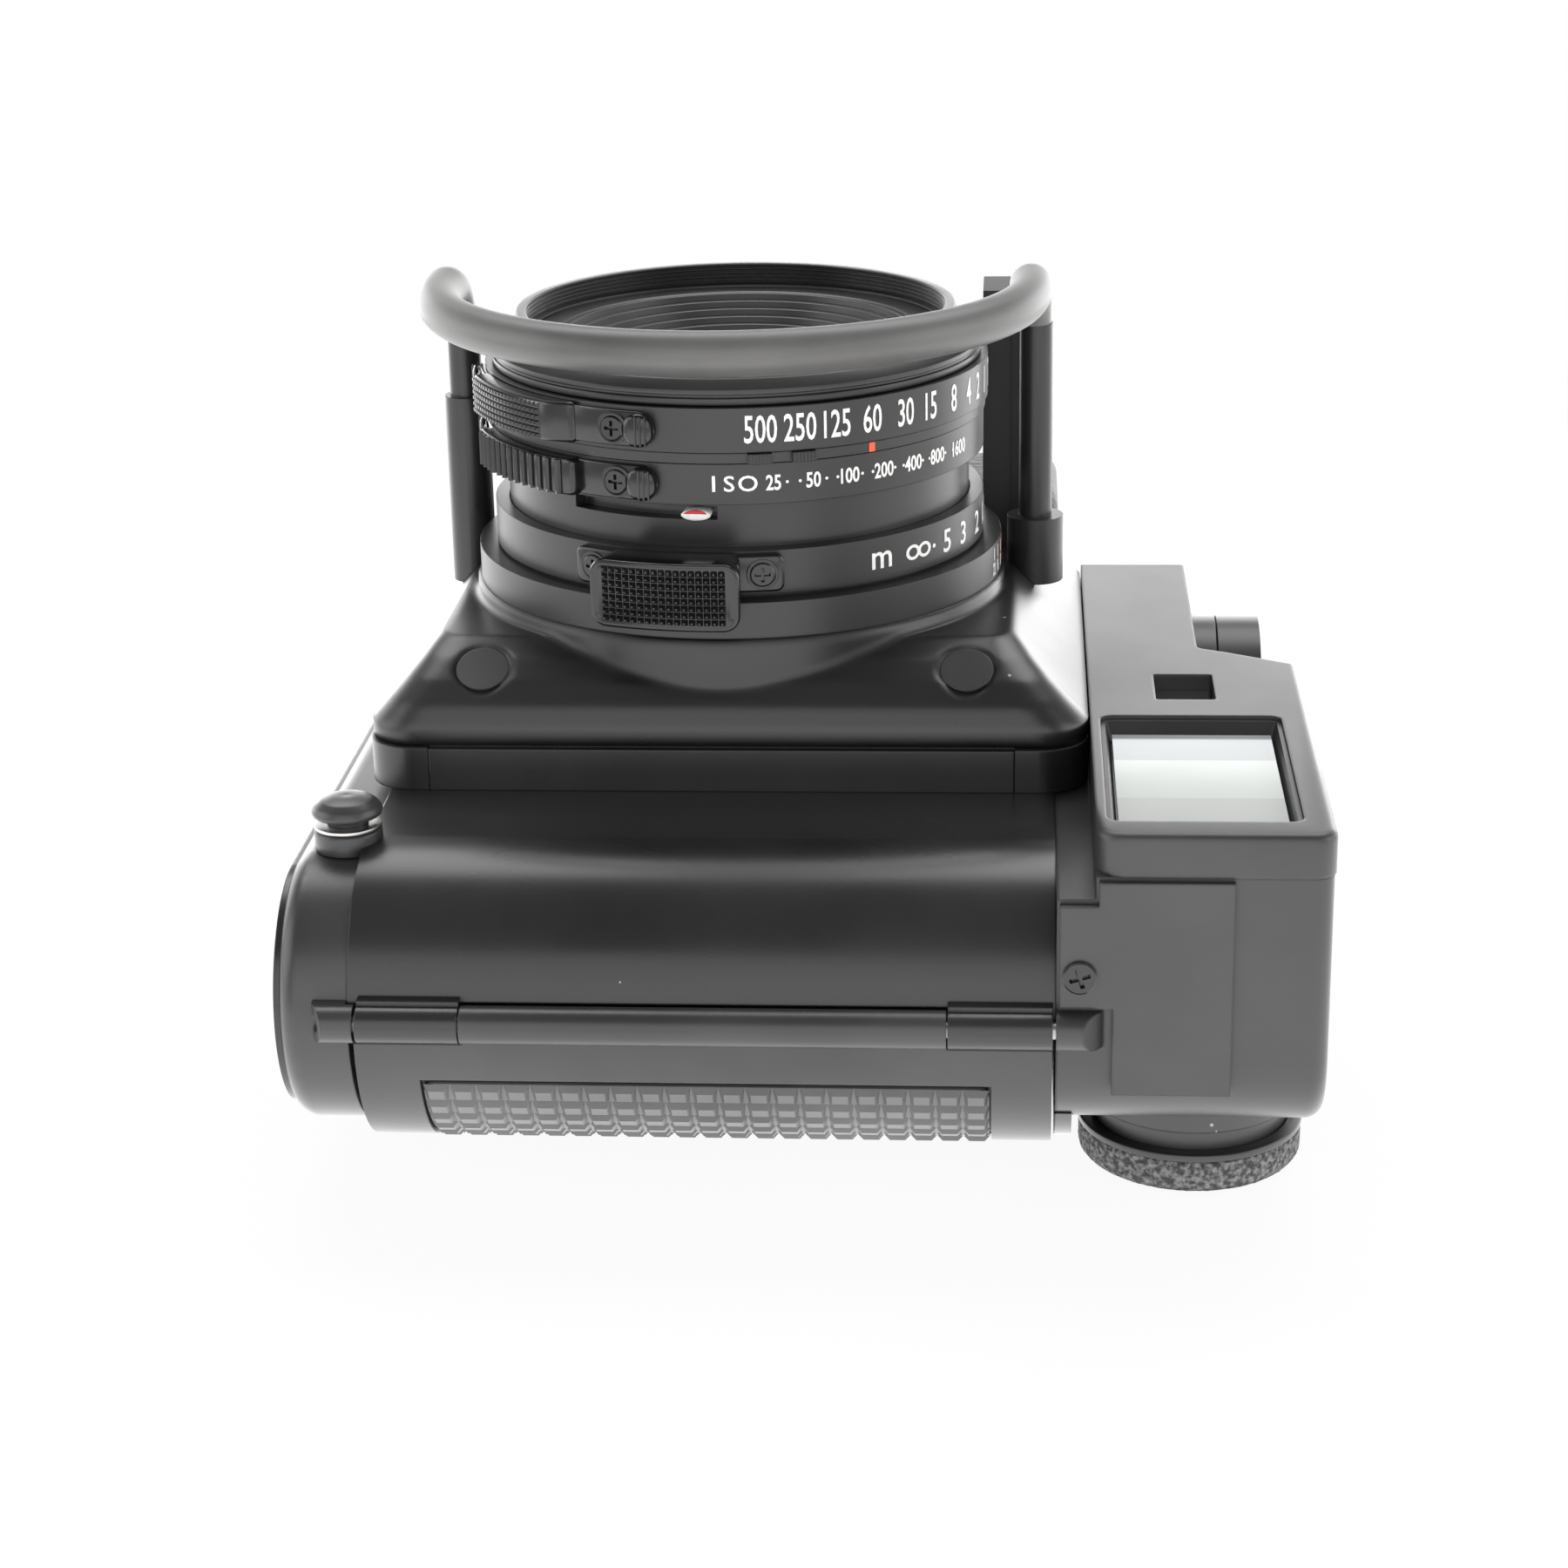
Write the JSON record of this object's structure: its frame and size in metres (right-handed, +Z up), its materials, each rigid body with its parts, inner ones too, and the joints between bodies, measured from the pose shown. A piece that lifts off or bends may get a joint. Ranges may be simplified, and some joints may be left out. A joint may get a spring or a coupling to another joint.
{
  "type": "medium format rangefinder camera",
  "caption": "Black medium format rangefinder camera with a fixed lens, a bow guard round the lens, a finder hump with a large window, a hinged back and a hand grip.",
  "frame": {"origin": "mouth of the tripod socket, in the base plane and in the upright plane of the lens axis", "axes": "+Z up, the lens looks along -Y, +X is the door hinge side, the user's left"},
  "size_m": [0.145, 0.0904, 0.1113],
  "materials": {
    "casting_black": "black stove enamel, low sheen",
    "shell_black": "fine-grained black shell, slight sheen",
    "lens_black": "black anodised, satin",
    "grip_rubber": "moulded black rubber, matt",
    "guard_rubber": "soft black rubber sleeve, matt",
    "foam": "closed-cell foam, speckled",
    "clear_glass": "clear, faint blue coating",
    "dark_glass": "dark window",
    "coated_glass": "coated lens glass",
    "screw_black": "blackened screw",
    "steel": "satin",
    "chrome": "polished",
    "brass": "cut gear brass",
    "spool_black": "moulded spool",
    "white_plastic": "white knob"
  },
  "bodies": {
    "camera_body": {"body_casting": "casting_black", "base_section": "shell_black", "base_plate": "casting_black", "tripod_bush": "steel", "battery_cover": "casting_black", "battery_cell": "steel", "top_chassis": "casting_black", "top_cover": "shell_black", "side_panel": "shell_black", "finder_bezel": "shell_black", "viewfinder_window": "clear_glass", "rangefinder_window": "dark_glass", "finder_block": "clear_glass", "eyepiece_tube": "shell_black", "eyepiece_lens": "clear_glass", "eyecup": "foam", "accessory_shoe": "steel", "release_collar": "lens_black", "hand_grip": "grip_rubber", "lens_box_frame": "casting_black", "lens_box_panels": "shell_black", "lens_box_cone": "casting_black", "lens_box_plugs": "shell_black", "base_ring": "lens_black", "guard_bow": "guard_rubber", "guard_posts": "lens_black", "guard_stay": "casting_black", "hinge_pin": "steel", "strap_lugs": "casting_black", "cover_screws": "screw_black"},
    "door": {"back_door": "shell_black", "grip_pad": "grip_rubber"},
    "plate": {"pressure_plate": "lens_black"},
    "latch": {"door_latch": "shell_black"},
    "lever": {"advance_lever": "lens_black"},
    "idler": {"idler_gear": "brass"},
    "takeup": {"takeup_drive": "brass", "takeup_spool": "spool_black"},
    "counter": {"counter_dial": "lens_black"},
    "button": {"shutter_button": "chrome"},
    "focus": {"focus_ring": "lens_black", "focus_tab": "shell_black", "focus_tab_screws": "screw_black"},
    "lens_barrel": {"lens_tube": "lens_black", "front_barrel": "lens_black", "name_ring": "lens_black", "front_element": "coated_glass", "rear_element": "coated_glass", "iris_blades": "lens_black"},
    "speed": {"speed_ring": "lens_black", "speed_tab": "shell_black", "speed_tab_screws": "screw_black"},
    "index": {"index_ring": "lens_black"},
    "exposure": {"exposure_ring": "lens_black", "exposure_tab": "shell_black", "exposure_tab_screws": "screw_black"},
    "selector": {"sync_selector": "white_plastic"},
    "spool_knob": {"supply_spool_knob": "lens_black"},
    "roller_near": {"supply_roller": "steel"},
    "roller_far": {"takeup_roller": "steel"}
  },
  "joints": [
    {"name": "door_hinge", "type": "hinge", "parent": "camera_body", "child": "door", "pos_m": [0.0669, 0.0008, 0.0455], "axis": [0, 0, -1], "range_deg": [0, 115]},
    {"name": "plate_press", "type": "slide", "parent": "door", "child": "plate", "axis": [0, 1, 0], "range_m": [0, 0.0016], "stiffness_N_per_m": 250, "springref_m": -0.002},
    {"name": "latch_slide", "type": "slide", "parent": "door", "child": "latch", "axis": [0, 0, 1], "range_m": [0, 0.005], "stiffness_N_per_m": 150, "springref_m": -0.001},
    {"name": "advance", "type": "hinge", "parent": "camera_body", "child": "lever", "pos_m": [-0.0495, 0.0027, 0.1], "axis": [0, 0, 1], "range_deg": [0, 110], "stiffness_Nm_per_rad": 0.03, "springref_deg": -17.19},
    {"name": "idler_turn", "type": "hinge", "parent": "camera_body", "child": "idler", "pos_m": [-0.0375, -0.00032, 0.088], "axis": [0, 0, 1], "range_deg": [-221, 0]},
    {"name": "takeup_turn", "type": "hinge", "parent": "camera_body", "child": "takeup", "pos_m": [-0.0495, 0.0027, 0.0455], "axis": [0, 0, 1], "range_deg": [0, 331]},
    {"name": "counter_turn", "type": "hinge", "parent": "camera_body", "child": "counter", "pos_m": [-0.0203, -0.002, 0.097], "axis": [0, 0, 1], "range_deg": [0, 17]},
    {"name": "release", "type": "slide", "parent": "camera_body", "child": "button", "axis": [0, 0, -1], "range_m": [0, 0.0024], "stiffness_N_per_m": 350, "springref_m": -0.001},
    {"name": "focusing", "type": "hinge", "parent": "camera_body", "child": "focus", "pos_m": [0, -0.036, 0.0455], "axis": [0, -1, 0], "range_deg": [-7, 42]},
    {"name": "barrel_slide", "type": "slide", "parent": "camera_body", "child": "lens_barrel", "axis": [0, 1, 0], "range_m": [-0.00054, 0.00326]},
    {"name": "speed_turn", "type": "hinge", "parent": "lens_barrel", "child": "speed", "pos_m": [0, -0.054, 0.0455], "axis": [0, -1, 0], "range_deg": [-52, 26]},
    {"name": "index_turn", "type": "hinge", "parent": "lens_barrel", "child": "index", "pos_m": [0, -0.0507, 0.0455], "axis": [0, -1, 0], "range_deg": [-30, 23]},
    {"name": "exposure_turn", "type": "hinge", "parent": "lens_barrel", "child": "exposure", "pos_m": [0, -0.0477, 0.0455], "axis": [0, -1, 0], "range_deg": [-25, 20]},
    {"name": "selector_turn", "type": "hinge", "parent": "lens_barrel", "child": "selector", "pos_m": [0, -0.044, 0.0455], "axis": [0, -1, 0], "range_deg": [-28, 0]},
    {"name": "spool_knob_pull", "type": "slide", "parent": "camera_body", "child": "spool_knob", "axis": [0, 0, -1], "range_m": [0, 0.005], "stiffness_N_per_m": 250, "springref_m": -0.004},
    {"name": "roller_near_turn", "type": "hinge", "parent": "camera_body", "child": "roller_near", "pos_m": [0.0336, 0.0074, 0.0455], "axis": [0, 0, 1], "continuous": true},
    {"name": "roller_far_turn", "type": "hinge", "parent": "camera_body", "child": "roller_far", "pos_m": [-0.0336, 0.0074, 0.0455], "axis": [0, 0, 1], "continuous": true}
  ],
  "couplings": [
    {"joint": "idler_turn", "follows": "advance", "ratio": -2},
    {"joint": "takeup_turn", "follows": "advance", "ratio": 3},
    {"joint": "counter_turn", "follows": "advance", "ratio": 0.15},
    {"joint": "focusing", "follows": "barrel_slide", "rad_per_m": 224.72}
  ]
}
